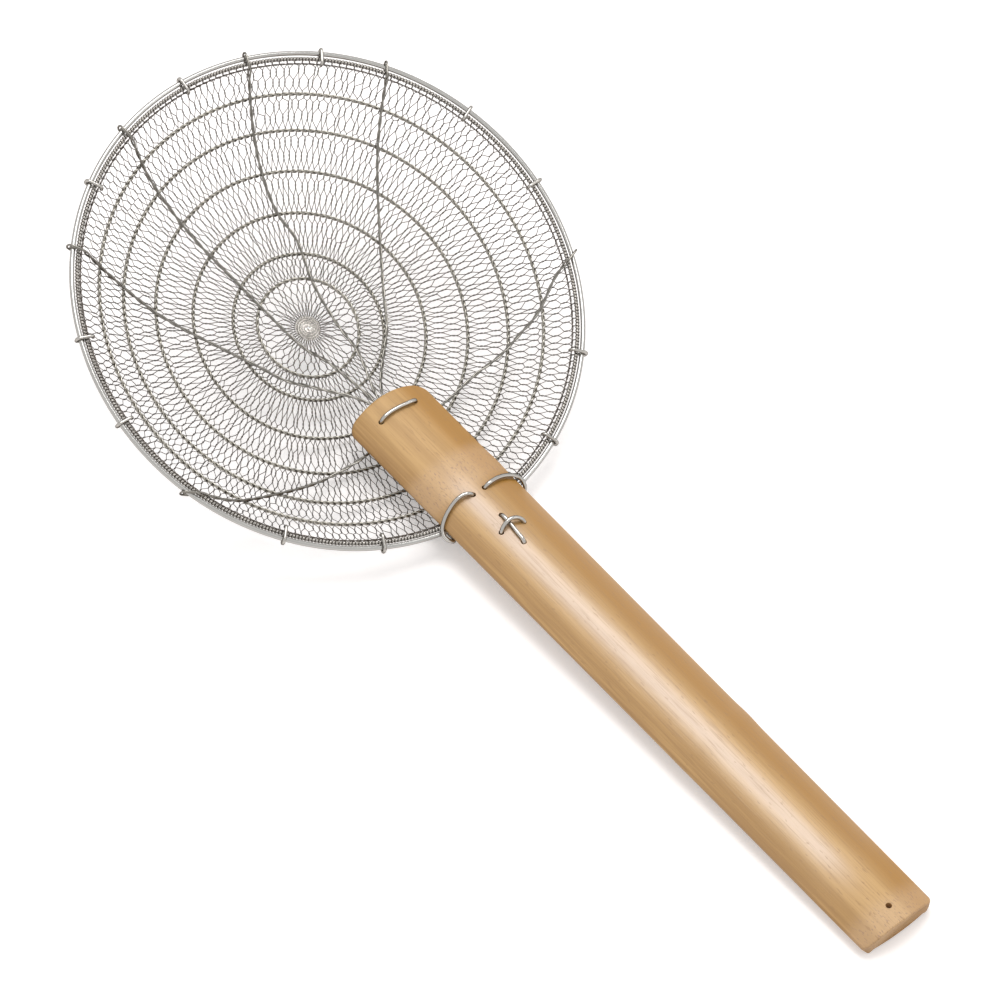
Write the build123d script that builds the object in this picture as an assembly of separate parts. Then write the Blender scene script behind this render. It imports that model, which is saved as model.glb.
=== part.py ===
from build123d import *
import math
import os

# A spider skimmer: a bowl of wire netting on hoops, rings and ribs, tied to a split bamboo handle.
# Sizes are in millimetres. The basket is worked out with its rim in the XY plane, its bowl hanging
# below and its handle leaving along +X. In the end all pieces are turned and moved together into
# the pose in which the skimmer rests on a table: on its bowl and on the handle's butt.

# Hoops at the rim
rim_outer_diameter = 254.0
rim_wire = 2.3
edge_wire = 1.5
hoop_gap = 0.8
edge_drop = 0.6
wound_edge = 0.35

# Bowl and support rings, as shares of the rim's radius and of the bowl's depth
bowl_depth = 42.5
strand_wire = 1.0
strand_gap = 0.1
ring_radius_shares = (0.873, 0.759, 0.618, 0.462, 0.300, 0.202)
ring_depth_shares = (0.286, 0.546, 0.755, 0.882, 0.941, 0.970)

# Net: one round of pointed gaps between each two rings
net_thickness = 0.3
net_strand = 0.8
net_hem = 0.7
net_gap_counts = (60, 56, 50, 42, 36, 30, 24)
gap_point_share = 0.25
hub_diameter = 6.8
hub_height = 2.0
hub_rounding = 0.8

# Ribs, with the place of each pair's hooks in degrees from the handle
rib_wire = 1.8
rib_hook_bend = 1.6
rib_hook_tuck = 3.6
rib_shoulder = 3.2
rib_bend = 8.0
rib_turn_bend = 3.0
rib_hook_angles = (163.0, 132.0, 71.0)
rib_slot_pitch = 2.4
rib_tail = 30.0
rib_lead = 4.0
side_rib_entry = 19.0
side_rib_turn = 14.0
side_rib_tail = 3.0

# Rim clips, with their places in degrees from the handle
clip_wire = 1.8
clip_bend = 1.3
clip_leg = 2.4
clip_tuck = 4.2
clip_reach = 0.6
clip_angles = (24.1, 46.7, 88.3, 110.3, 146.2, 180.0, 213.2, 249.8, 270.2, 313.0, 335.1)

# Handle
handle_length = 364.0
handle_tip_width = 47.0
handle_butt_width = 43.5
handle_radius = 36.0
handle_wall = 6.9
handle_pitch = 20.2
handle_tip_reach = 50.2
handle_tip_drop = 15.8
handle_edge_rounding = 1.2
tip_bulge = 2.5
tip_corner = 6.0
butt_bulge = 1.5
butt_corner = 4.0
node_ridge_height = 1.0
node_ridge_length = 3.0
node_ridge_half_angle = 28.0
node_place_shares = (0.157, 0.655)
butt_web_length = 6.0
butt_web_drop = 11.0
butt_web_sink = 1.0
hang_hole_diameter = 3.0
hang_hole_from_butt = 9.6

# Wires through the handle: places are along it from its tip and across it
tie_wire_diameter = 2.0
wire_hole_diameter = 2.7
wire_bend = 1.8
staple_along = 11.6
staple_half_span = 10.4
staple_clinch_gap = 1.2
lashing_along = 71.0
lashing_half_span = 3.5
lashing_shoulder_along = 69.0
lashing_shoulder_across = 16.0
lashing_tail = 7.0
lashing_lift = 0.65
lashing_drop_along = 73.0
tie_start = (88.0, -0.5)
tie_end = (106.0, -2.0)
tie_clinch = 5.0
binder_start = (95.3, -6.6)
binder_end = (96.7, 5.4)
binder_crown_half = 1.7

# Fits
wire_clearance = 0.15
net_clearance = 0.3
saddle_clearance = 0.5
overrun = 1.0

rim_radius = rim_outer_diameter / 2 - rim_wire / 2
edge_radius = rim_radius - rim_wire / 2 - hoop_gap - edge_wire / 2
edge_bead_radius = edge_wire / 2 + wound_edge
hoops_top = max(rim_wire / 2, edge_bead_radius - edge_drop)
ring_half = strand_wire + strand_gap / 2

# Stations of the bowl's profile, from the edge hoop to the hub, as radius and height
edge_station = (edge_radius, -edge_drop)
ring_stations = [
    (rim_radius * radius_share, -bowl_depth * depth_share)
    for radius_share, depth_share in zip(ring_radius_shares, ring_depth_shares)
]
hub_station = (0.0, -bowl_depth)
stations = [edge_station] + ring_stations + [hub_station]


def hoop(radius, height, wire):
    """A closed ring of round wire, lying level at a height."""
    return Pos(0, 0, height) * Torus(radius, wire / 2)


def support_ring(radius, height):
    """The two strands of a support ring, one on each side of the net's surface."""
    tilt = net_tilt(radius)
    apart = (strand_wire + strand_gap) / 2
    inward, upward = -apart * math.sqrt(1 - tilt ** 2), apart * tilt
    upper = hoop(radius + inward, height + upward, strand_wire)
    lower = hoop(radius - inward, height - upward, strand_wire)
    return Compound(children=[upper.solid(), lower.solid()])


def wire_along(points, bends, wire):
    """Round wire swept along straight runs, with a bend of a given radius at each corner."""
    path = FilletPolyline(*points, radius=bends)
    start = Plane(origin=path @ 0, z_dir=path % 0)
    return sweep(start * Circle(wire / 2), path=path.wire())


def net_height(radius):
    """Height of the net's middle surface at a distance from the bowl's axis."""
    for outer, inner in zip(stations, stations[1:]):
        if radius >= inner[0]:
            slope = (outer[1] - inner[1]) / (outer[0] - inner[0])
            return inner[1] + slope * (radius - inner[0])
    return hub_station[1]


def net_tilt(radius):
    """Cosine of the net's slope near a distance from the bowl's axis."""
    reach = 2 * strand_wire
    rise = net_height(radius + reach) - net_height(max(radius - reach, 0.0))
    run = radius + reach - max(radius - reach, 0.0)
    return run / math.hypot(run, rise)


def gap_wire(count, index, outer, inner):
    """Outline of one gap of the net, pointed at both ends, seen along the bowl's axis."""
    middle = 2 * math.pi * (index + 0.5) / count
    point = (outer - inner) * gap_point_share
    corners = []
    for side, radius in ((0, outer), (1, outer - point), (1, inner + point), (0, inner),
                         (-1, inner + point), (-1, outer - point)):
        angle = middle + side * (math.pi / count - net_strand / (2 * radius))
        corners.append((radius * math.cos(angle), radius * math.sin(angle)))
    return Wire.make_polygon(corners)


def net_band(index):
    """One round of the net: a thin cone between two rings, with its gaps cut along the axis."""
    outer, inner = stations[index], stations[index + 1]
    run, fall = inner[0] - outer[0], inner[1] - outer[1]
    length = math.hypot(run, fall)
    along = (run / length, fall / length)
    across = (-along[1], along[0])
    ring_trim = math.sqrt((strand_wire / 2 + net_clearance + net_thickness / 2) ** 2
                          - (strand_wire + strand_gap) ** 2 / 4) + net_thickness / 2
    outer_trim = edge_bead_radius - net_thickness / 2 if index == 0 else ring_trim
    inner_trim = 0.0 if inner[0] == 0 else ring_trim
    start = (outer[0] + along[0] * outer_trim, outer[1] + along[1] * outer_trim)
    end = (inner[0] - along[0] * inner_trim, inner[1] - along[1] * inner_trim)
    half = net_thickness / 2
    if inner[0] == 0:
        across_end = (0.0, -1.0)
    else:
        across_end = across
    section = Polyline(
        (start[0] + across[0] * half, 0, start[1] + across[1] * half),
        (start[0] - across[0] * half, 0, start[1] - across[1] * half),
        (end[0] - across_end[0] * half, 0, end[1] - across_end[1] * half),
        (end[0] + across_end[0] * half, 0, end[1] + across_end[1] * half),
        close=True,
    )
    profile = make_face(section)
    reach = start[0]
    if index == 0:
        edge_plane = Plane(origin=(edge_radius, 0, -edge_drop), z_dir=(0, -1, 0))
        winding = edge_plane * (Circle(edge_bead_radius) - Circle(edge_wire / 2 + wire_clearance))
        profile = profile + winding
        reach = edge_radius + edge_bead_radius
    cone = revolve(profile, axis=Axis.Z)
    gap_outer = start[0] - net_hem
    gap_inner = (end[0] if end[0] > 0 else hub_diameter / 2) + net_hem
    count = net_gap_counts[index]
    cuts = [gap_wire(count, number, gap_outer, gap_inner) for number in range(count)]
    holed = Face(Wire.make_circle(reach + overrun), cuts)
    height = bowl_depth + edge_bead_radius + 2 * overrun
    band = cone & extrude(Pos(0, 0, -bowl_depth - overrun) * holed, amount=height)
    if inner[0] == 0:
        knot = Cylinder(hub_diameter / 2, hub_height)
        knot = fillet(knot.edges().filter_by(GeomType.CIRCLE), hub_rounding)
        band = band + Pos(0, 0, hub_station[1]) * knot
    return band


def on_handle(along, across, above):
    """A point given along the handle from its tip, across it, and above its crown line."""
    turn = math.radians(handle_pitch)
    x = handle_tip_reach + along * math.cos(turn) - above * math.sin(turn)
    z = -handle_tip_drop + along * math.sin(turn) + above * math.cos(turn)
    return (x, across, z)


handle_plane = Plane(
    origin=on_handle(0, 0, 0),
    x_dir=(math.cos(math.radians(handle_pitch)), 0, math.sin(math.radians(handle_pitch))),
    z_dir=(-math.sin(math.radians(handle_pitch)), 0, math.cos(math.radians(handle_pitch))),
)


def outside_drop(across):
    """How far the handle's outside lies below its crown line, at a place across it."""
    return handle_radius - math.sqrt(handle_radius ** 2 - across ** 2)


def inside_drop(across):
    """How far the ceiling of the hollow lies below the crown line, at a place across it."""
    inner = handle_radius - handle_wall
    return handle_radius - math.sqrt(inner ** 2 - across ** 2)


def wall_slice(outer, inner, turn):
    """A slice of a tube's wall, with its crown upwards and the tube's axis at the origin."""
    across, up = math.sin(turn), math.cos(turn)
    edges = Curve() + [
        ThreePointArc((-outer * across, outer * up), (0, outer), (outer * across, outer * up)),
        Line((outer * across, outer * up), (inner * across, inner * up)),
        ThreePointArc((inner * across, inner * up), (0, inner), (-inner * across, inner * up)),
        Line((-inner * across, inner * up), (-outer * across, outer * up)),
    ]
    return Pos(0, -handle_radius, 0) * make_face(edges)


def handle_section(width):
    """The split's section: a slice of a bamboo wall with radial sides and rounded corners."""
    turn = math.asin(width / 2 / handle_radius)
    face = wall_slice(handle_radius, handle_radius - handle_wall, turn)
    return fillet(face.vertices(), handle_edge_rounding)


def handle_outline():
    """The handle seen from above, with its bulged ends and rounded corners."""
    half_tip = handle_tip_width / 2 + overrun
    half_butt = handle_butt_width / 2 + overrun
    edges = Curve() + [
        ThreePointArc((tip_bulge, half_tip), (0, 0), (tip_bulge, -half_tip)),
        Line((tip_bulge, -half_tip), (handle_length - butt_bulge, -half_butt)),
        ThreePointArc((handle_length - butt_bulge, -half_butt), (handle_length, 0),
                      (handle_length - butt_bulge, half_butt)),
        Line((handle_length - butt_bulge, half_butt), (tip_bulge, half_tip)),
    ]
    face = make_face(edges)
    tip_corners = face.vertices().filter_by_position(Axis.X, 0, handle_length / 2)
    face = fillet(tip_corners, tip_corner)
    butt_corners = face.vertices().sort_by(Axis.X)[-2:]
    return fillet(butt_corners, butt_corner)


def saddle():
    """The space under the handle that the hoops, their winding and the net need at the rim."""
    raised = (net_thickness / 2 + saddle_clearance) / net_tilt(ring_stations[0][0])
    top = hoops_top + wire_clearance
    inner = edge_radius - edge_bead_radius - wire_clearance
    outer = rim_radius + rim_wire / 2 + wire_clearance
    low = -bowl_depth
    ring = ring_stations[0][0]
    section = Polyline(
        (ring, 0, low),
        (ring, 0, net_height(ring) + raised),
        (inner, 0, net_height(inner) + raised),
        (inner, 0, top),
        (outer, 0, top),
        (outer, 0, low),
        close=True,
    )
    return revolve(make_face(section), axis=Axis.Z)


def drilled(along, across, diameter):
    """A hole drilled down through the handle's wall."""
    deep = handle_radius
    place = handle_plane * Pos(along, across, -deep / 2 + overrun)
    return place * Cylinder(diameter / 2, deep)


def butt_web():
    """The node's wall that closes the hollow at the butt, down to a flat underside."""
    reach = handle_radius - handle_wall + butt_web_sink
    chord = handle_radius - butt_web_drop
    above = Pos(0, chord + reach) * Rectangle(2 * reach, 2 * reach)
    face = Pos(0, -handle_radius, 0) * (Circle(reach) & above)
    length = butt_web_length + butt_bulge
    upright = Plane(origin=(handle_length - length, 0, 0), x_dir=(0, 1, 0), z_dir=(1, 0, 0))
    return extrude(upright * face, amount=length)


def handle_body():
    """The bamboo split with its ends, node ridges, web, saddle and holes."""
    upright = Plane(origin=(0, 0, 0), x_dir=(0, 1, 0), z_dir=(1, 0, 0))
    tip_face = upright * handle_section(handle_tip_width)
    butt_face = upright * Pos(0, 0, handle_length) * handle_section(handle_butt_width)
    split = loft([tip_face, butt_face], ruled=True) + butt_web()
    deep = handle_radius
    outline = extrude(Pos(0, 0, -deep + overrun) * handle_outline(), amount=deep)
    split = split & outline
    inner = handle_radius - handle_wall
    ridge_turn = math.radians(node_ridge_half_angle)
    ridge_face = wall_slice(inner + handle_wall / 2, inner - node_ridge_height, ridge_turn)
    ridge = extrude(upright * ridge_face, amount=node_ridge_length)
    for share in node_place_shares:
        split = split + Pos(handle_length * share, 0, 0) * ridge
    body = handle_plane * split
    body = body - saddle()
    places = [
        (staple_along, staple_half_span),
        (staple_along, -staple_half_span),
        (lashing_along, lashing_half_span),
        (lashing_along, -lashing_half_span),
        tie_start,
        tie_end,
        binder_start,
    ]
    for along, across in places:
        body = body - drilled(along, across, wire_hole_diameter)
    return body - drilled(handle_length - hang_hole_from_butt, 0, hang_hole_diameter)


hook_top = hoops_top + rib_wire / 2 + wire_clearance
hook_out = rim_radius + rim_wire / 2 + rib_wire / 2 + wire_clearance


def slot_place(slot):
    """Where a rib lies across the hollow, and how far below the crown line."""
    across = rib_slot_pitch * (slot + 0.5)
    return across, inside_drop(across + rib_wire / 2) + rib_wire / 2 + wire_clearance


def hook_points(hook, towards):
    """Points of a rib's hook over both hoops, in the upright plane of the rib's run."""
    run = math.hypot(towards[0] - hook[0], towards[1] - hook[1])
    step = ((towards[0] - hook[0]) / run, (towards[1] - hook[1]) / run)

    def point(inwards, height):
        return (hook[0] + step[0] * inwards, hook[1] + step[1] * inwards, height)

    along_hook = -(hook[0] * step[0] + hook[1] * step[1]) / hook_out
    shoulder = (hook_out - edge_radius + edge_bead_radius + rib_shoulder) / along_hook
    return [
        point(rib_hook_tuck, -hook_top),
        point(0, -hook_top),
        point(0, hook_top),
        point(shoulder, hook_top),
    ]


def crossing(hook, towards, radius, far):
    """Where the run in plan crosses a circle, on its first or its second crossing."""
    run = math.hypot(towards[0] - hook[0], towards[1] - hook[1])
    step = ((towards[0] - hook[0]) / run, (towards[1] - hook[1]) / run)
    nearest = -(hook[0] * step[0] + hook[1] * step[1])
    miss = abs(hook[0] * step[1] - hook[1] * step[0])
    if miss >= radius:
        return None
    reach = math.sqrt(radius ** 2 - miss ** 2)
    travel = nearest + reach if far else nearest - reach
    if travel <= 0 or travel >= run:
        return None
    lift = (ring_half + rib_wire / 2 + wire_clearance) / net_tilt(radius)
    return (hook[0] + step[0] * travel, hook[1] + step[1] * travel, net_height(radius) + lift)


def long_rib(pair, side):
    """A rib from the far side of the rim, down over the rings and up under the handle's tip."""
    angle = math.radians(rib_hook_angles[pair])
    hook = (hook_out * math.cos(angle), side * hook_out * math.sin(angle))
    across, drop = slot_place(pair)
    lead = on_handle(-rib_lead, side * across, -drop)
    points = hook_points(hook, lead)
    for radius, height in ring_stations:
        place = crossing(hook, lead, radius, False)
        if place:
            points.append(place)
    rising = [crossing(hook, lead, radius, True) for radius, height in ring_stations]
    points += [place for place in rising if place][-1:]
    points += [lead, on_handle(rib_tail, side * across, -drop)]
    bends = [rib_hook_bend, rib_hook_bend, rib_turn_bend] + [rib_bend] * (len(points) - 5)
    return wire_along(points, bends, rib_wire)


def side_rib(side):
    """A rib from beside the handle, over the outer rings, under its edge and on to the tip."""
    angle = math.radians(rib_hook_angles[2])
    hook = (hook_out * math.cos(angle), side * hook_out * math.sin(angle))
    across, drop = slot_place(2)
    turn = math.asin(handle_tip_width / 2 / handle_radius)
    inner = handle_radius - handle_wall
    edge = handle_radius - inner * math.cos(turn) + rib_wire / 2 + wire_clearance
    inside = inner * math.sin(turn) - rib_wire
    entry = on_handle(side_rib_entry, side * inside, -edge)
    points = hook_points(hook, entry)
    for radius, height in ring_stations[:2]:
        points.append(crossing(hook, entry, radius, False))
    points += [
        entry,
        on_handle(side_rib_turn, side * across, -drop),
        on_handle(side_rib_tail, side * across, -drop),
    ]
    bends = [rib_hook_bend] * 2 + [rib_turn_bend] + [rib_bend] * 2 + [rib_turn_bend] * 2
    return wire_along(points, bends, rib_wire)


def rim_clip(angle):
    """A short wire closed over both hoops, in the upright plane through the bowl's axis."""
    turn = math.radians(angle)
    top = hoops_top + clip_wire / 2 + wire_clearance
    inner = edge_radius - edge_bead_radius - clip_wire / 2 - wire_clearance - clip_reach
    outer = rim_radius + rim_wire / 2 + clip_wire / 2 + wire_clearance
    low = -rim_wire / 2 - clip_wire / 2 - wire_clearance

    def point(radius, height):
        return (radius * math.cos(turn), radius * math.sin(turn), height)

    points = [
        point(inner, top - clip_leg),
        point(inner, top),
        point(outer, top),
        point(outer, low),
        point(outer - clip_tuck, low),
    ]
    return wire_along(points, [clip_bend] * 3, clip_wire)


wire_above = tie_wire_diameter / 2 + wire_clearance


def front_staple():
    """A wire over the crown near the tip, through two holes and clinched under the ribs."""
    under = slot_place(2)[1] + rib_wire / 2 + wire_above
    inward = staple_clinch_gap / 2
    points = [
        on_handle(staple_along, inward, -under),
        on_handle(staple_along, staple_half_span, -under),
        on_handle(staple_along, staple_half_span, wire_above),
        on_handle(staple_along, -staple_half_span, wire_above),
        on_handle(staple_along, -staple_half_span, -under),
        on_handle(staple_along, -inward, -under),
    ]
    return wire_along(points, [wire_bend] * 4, tie_wire_diameter)


def lashing(side):
    """A wire from the hollow, up by the crown, round the handle's edge and under both hoops."""
    half = handle_tip_width / 2
    beside = half + wire_above
    turn = math.radians(handle_pitch)
    rim_x = math.sqrt(rim_radius ** 2 - beside ** 2)
    rim_along = (rim_x - handle_tip_reach) * math.cos(turn) + handle_tip_drop * math.sin(turn)
    rim_above = -(rim_x - handle_tip_reach) * math.sin(turn) + handle_tip_drop * math.cos(turn)
    outside = rim_along + rim_wire / 2 + wire_above
    below = rim_above - rim_wire / 2 - wire_above
    over = wire_above + lashing_lift
    points = [
        on_handle(lashing_along, side * lashing_half_span, -handle_wall - tie_wire_diameter),
        on_handle(lashing_along, side * lashing_half_span, over),
        on_handle(lashing_shoulder_along, side * lashing_shoulder_across,
                  over - outside_drop(lashing_shoulder_across)),
        on_handle(lashing_drop_along, side * beside, -outside_drop(half) + tie_wire_diameter / 2),
        on_handle(outside, side * beside, rim_above + rim_wire + tie_wire_diameter / 2),
        on_handle(outside, side * beside, below),
        on_handle(outside - lashing_tail, side * beside, below),
    ]
    bends = [wire_bend] * 5
    return wire_along(points, bends, tie_wire_diameter)


def tie_wire():
    """The straight wire of the knot behind the rim, through two holes and clinched inside."""
    under = inside_drop(abs(tie_end[1]) + wire_above) + wire_above
    points = [
        on_handle(tie_start[0] + tie_clinch, tie_start[1], -under),
        on_handle(tie_start[0], tie_start[1], -under),
        on_handle(tie_start[0], tie_start[1], wire_above),
        on_handle(tie_end[0], tie_end[1], wire_above),
        on_handle(tie_end[0], tie_end[1], -under),
        on_handle(tie_end[0] - tie_clinch, tie_end[1], -under),
    ]
    return wire_along(points, [wire_bend] * 4, tie_wire_diameter)


def tie_binder():
    """The second wire of the knot, up through a hole and bent over the first."""
    over = wire_above + tie_wire_diameter + wire_clearance
    middle = (tie_start[1] + tie_end[1]) / 2
    along = (binder_start[0] + binder_end[0]) / 2
    points = [
        on_handle(binder_start[0], binder_start[1], -handle_wall - tie_wire_diameter),
        on_handle(binder_start[0], binder_start[1], wire_above),
        on_handle(along, middle - binder_crown_half, over),
        on_handle(along, middle + binder_crown_half, over),
        on_handle(binder_end[0], binder_end[1], wire_above - outside_drop(binder_end[1])),
    ]
    return wire_along(points, [wire_bend, binder_crown_half, binder_crown_half], tie_wire_diameter)


def resting_lean():
    """The lean at which the bowl's lowest ring and the handle's butt stand on one level."""
    inner = handle_radius - handle_wall
    turn = math.asin(handle_butt_width / 2 / handle_radius)
    rounded = handle_edge_rounding * (math.cos(turn) + math.sin(turn) - 1)
    foot = on_handle(handle_length - butt_bulge, 0, inner * math.cos(turn) - handle_radius + rounded)
    leans = []
    for radius, height in ring_stations:
        reach = math.hypot(foot[0] - radius, foot[2] - height)
        slope = math.atan2(foot[2] - height, foot[0] - radius)
        leans.append(math.degrees(slope + math.asin(ring_half / reach)))
    return max(leans)


nodes = {
    "rim_hoop": hoop(rim_radius, 0, rim_wire),
    "edge_hoop": hoop(edge_radius, -edge_drop, edge_wire),
}
for number, (radius, height) in enumerate(ring_stations, 1):
    nodes[f"support_ring_{number}"] = support_ring(radius, height)
for number in range(len(stations) - 1):
    nodes[f"net_round_{number + 1}"] = net_band(number)
for pair, name in enumerate(("far", "middle")):
    nodes[f"rib_{name}_left"] = long_rib(pair, -1)
    nodes[f"rib_{name}_right"] = long_rib(pair, 1)
nodes["rib_near_left"] = side_rib(-1)
nodes["rib_near_right"] = side_rib(1)
for number, angle in enumerate(clip_angles, 1):
    nodes[f"rim_clip_{number:02d}"] = rim_clip(angle)
nodes["handle"] = handle_body()
nodes["front_staple"] = front_staple()
nodes["lashing_left"] = lashing(-1)
nodes["lashing_right"] = lashing(1)
nodes["tie_wire"] = tie_wire()
nodes["tie_binder"] = tie_binder()

# The pose at rest: leaned over, then set on the level with its middle over the origin
leaned = {name: Rot(0, resting_lean(), 0) * solid for name, solid in nodes.items()}
box = Compound(children=[Compound([*solid.solids()]) for solid in leaned.values()]).bounding_box()
shift = Pos(-(box.min.X + box.max.X) / 2, -(box.min.Y + box.max.Y) / 2, -box.min.Z)

os.makedirs("parts", exist_ok=True)
for name, solid in leaned.items():
    export_step(shift * solid, f"parts/{name}.step")

print("lean", round(resting_lean(), 3), "degrees, size", box.size)
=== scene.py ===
# %% [markdown]
# # A spider skimmer, dressed for its picture
#
# The CAD model gives this tool its sizes: a bowl of wire netting on hoops, rings and ribs, tied to a split
# bamboo handle. This lesson makes what the CAD model leaves plain. The net becomes real twisted wire, the rings
# and ribs become pairs of strands, and the handle gets the skin and the grain of bamboo.

import math

import bpy
import numpy as np
from mathutils import Matrix, Vector


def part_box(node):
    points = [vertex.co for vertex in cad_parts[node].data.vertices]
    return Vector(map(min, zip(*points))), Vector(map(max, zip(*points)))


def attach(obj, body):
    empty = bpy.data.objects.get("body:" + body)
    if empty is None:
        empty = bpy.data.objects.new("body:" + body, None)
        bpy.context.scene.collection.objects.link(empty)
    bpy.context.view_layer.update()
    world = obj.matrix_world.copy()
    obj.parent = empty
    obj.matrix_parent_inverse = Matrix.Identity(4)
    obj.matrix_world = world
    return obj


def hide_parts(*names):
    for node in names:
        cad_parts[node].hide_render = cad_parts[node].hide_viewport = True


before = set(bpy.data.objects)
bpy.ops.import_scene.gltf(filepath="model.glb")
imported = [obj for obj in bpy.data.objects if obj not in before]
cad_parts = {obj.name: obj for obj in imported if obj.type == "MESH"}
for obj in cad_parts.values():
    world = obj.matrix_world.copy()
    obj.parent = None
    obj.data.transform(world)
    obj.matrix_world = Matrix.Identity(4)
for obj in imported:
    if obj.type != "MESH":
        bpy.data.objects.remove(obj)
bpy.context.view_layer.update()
print("CAD nodes:", len(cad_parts))

# %% [markdown]
# ## Where the bowl lies
#
# It is easier to think about the bowl with its rim level. The skimmer rests leaned over, on its bowl and on the
# handle's end, so every point is worked out with the rim in the XY plane, in millimetres, and then leaned and
# moved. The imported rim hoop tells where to: its box gives the middle, and the box's height gives the lean.

# %% From the level bowl to the resting skimmer
MM = 0.001
RIM_WIRE = 2.3
rim_low, rim_high = (np.array(corner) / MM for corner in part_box("rim_hoop"))
rim_middle = (rim_low + rim_high) / 2
rim_half = (rim_high - rim_low - RIM_WIRE) / 2
lean = math.atan2(rim_half[2], rim_half[0])
RIM_RADIUS = rim_half[1]
print("lean", round(math.degrees(lean), 2), "degrees, rim radius", round(RIM_RADIUS, 2), "mm")


def lean_over(vectors):
    """Turns vectors of the level bowl about Y by the lean, as the resting skimmer is turned."""
    x, y, z = vectors[..., 0], vectors[..., 1], vectors[..., 2]
    return np.stack([x * math.cos(lean) + z * math.sin(lean), y, z * math.cos(lean) - x * math.sin(lean)], -1)


# %% [markdown]
# ## Meshes from whole arrays
#
# Every piece here is a surface worked out with numpy: rows and columns of points, joined by four-sided faces.
# Building the arrays first and handing them to Blender in one go is quick, even for a net with thousands of wires.

# %% Helpers: vectors, meshes and wires
UP = np.array([0.0, 0.0, 1.0])


def unit(vectors):
    """Each vector divided by its length."""
    return vectors / np.linalg.norm(vectors, axis=-1, keepdims=True)


def put_piece(name, points, faces, material, slot):
    """Hands points (in mm, level bowl) and arrays of faces to a new object that rides on the skimmer."""
    loops = np.concatenate([corners.ravel() for corners in faces])
    sizes = np.concatenate([np.full(len(corners), corners.shape[1]) for corners in faces])
    mesh = bpy.data.meshes.new(name)
    mesh.vertices.add(len(points))
    mesh.vertices.foreach_set("co", ((lean_over(points) + rim_middle) * MM).ravel())
    mesh.loops.add(len(loops))
    mesh.loops.foreach_set("vertex_index", loops)
    mesh.polygons.add(len(sizes))
    mesh.polygons.foreach_set("loop_start", np.concatenate([[0], np.cumsum(sizes)[:-1]]))
    mesh.polygons.foreach_set("use_smooth", np.full(len(sizes), True))
    mesh.update(calc_edges=True)
    mesh.validate()
    mesh.materials.append(material)
    piece = bpy.data.objects.new(name, mesh)
    bpy.context.scene.collection.objects.link(piece)
    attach(piece, "root")
    print(name, len(points), "points,", round(int((sizes - 2).sum()) / 1000, 1), "thousand triangles")
    return piece


def directions(centres, closed):
    """The direction of travel at each point of each path: the way from the point before to the point after."""
    if closed:
        return unit(np.roll(centres, -1, axis=1) - np.roll(centres, 1, axis=1))
    return unit(np.gradient(centres, axis=1))


def wire_surface(centres, across, radius, sides, closed):
    """Round wire carried along paths. Each corner is the path's point plus the radius times the cosine of the
    corner's turn along across and the sine of it along the third direction. Returns points and faces."""
    along = directions(centres, closed)
    across = unit(across - (across * along).sum(-1, keepdims=True) * along)
    upward = np.cross(along, across)
    turn = (2 * np.pi * np.arange(sides) / sides)[:, None]
    corners = np.cos(turn) * across[:, :, None] + np.sin(turn) * upward[:, :, None]
    points = centres[:, :, None] + radius * corners
    index = np.arange(points[..., 0].size).reshape(points.shape[:3])
    start, end = (index, np.roll(index, -1, axis=1)) if closed else (index[:, :-1], index[:, 1:])
    quads = np.stack([start, np.roll(start, -1, axis=2), np.roll(end, -1, axis=2), end], -1).reshape(-1, 4)
    faces = [quads] if closed else [quads, index[:, 0, ::-1], index[:, -1]]
    return points.reshape(-1, 3), faces


def join_surfaces(surfaces):
    """Puts several surfaces together: the corners of each one's faces count on from the points before it."""
    points, faces, before = [], [], 0
    for some_points, some_faces in surfaces:
        points.append(some_points)
        faces += [corners + before for corners in some_faces]
        before += len(some_points)
    return np.concatenate(points), faces


def loop_faces(loops):
    """Four-sided faces between the rows of a grid, where each row is a closed loop, and a face over each end."""
    index = np.arange(loops[..., 0].size).reshape(loops.shape[:2])
    start, end = index[:-1], index[1:]
    quads = np.stack([start, end, np.roll(end, -1, axis=1), np.roll(start, -1, axis=1)], -1).reshape(-1, 4)
    return [quads, index[:1], index[-1:, ::-1]]


def strands(centre, across, apart, turn, closed):
    """Two strands twisted round one path: each is the path's point plus or minus half the strands' distance
    along a direction that has turned from across by the given angle."""
    along = directions(centre, closed)
    across = unit(across - (across * along).sum(-1, keepdims=True) * along)
    upward = np.cross(along, across)
    out = np.cos(turn)[..., None] * across + np.sin(turn)[..., None] * upward
    return np.concatenate([centre + out * apart / 2, centre - out * apart / 2]), np.concatenate([across, across])


# %% [markdown]
# ## Camera, floor and light
#
# The photograph looks down on the skimmer from a little over two metres. Its lens is long, so the lines hardly
# draw together. The floor and the world are plain white where the camera, gloss or glass looks at them, and the
# lamps stay at a plain level. The floor still darkens a little under the net, because part of its white is real
# light, and the object's shadow takes that part away. The key lamp hangs where its mirror image in a level
# surface is seen from the camera, so it draws a pale band along the handle's crown.

# %% Camera
AIM = Vector((-0.01735, 0.00105, 0.030))
AZIMUTH, ELEVATION, ROLL = (math.radians(angle) for angle in (-45.245, 52.212, 6.0))
DISTANCE = 2.10857
FOCAL_SHARE = 4.51060

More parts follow.
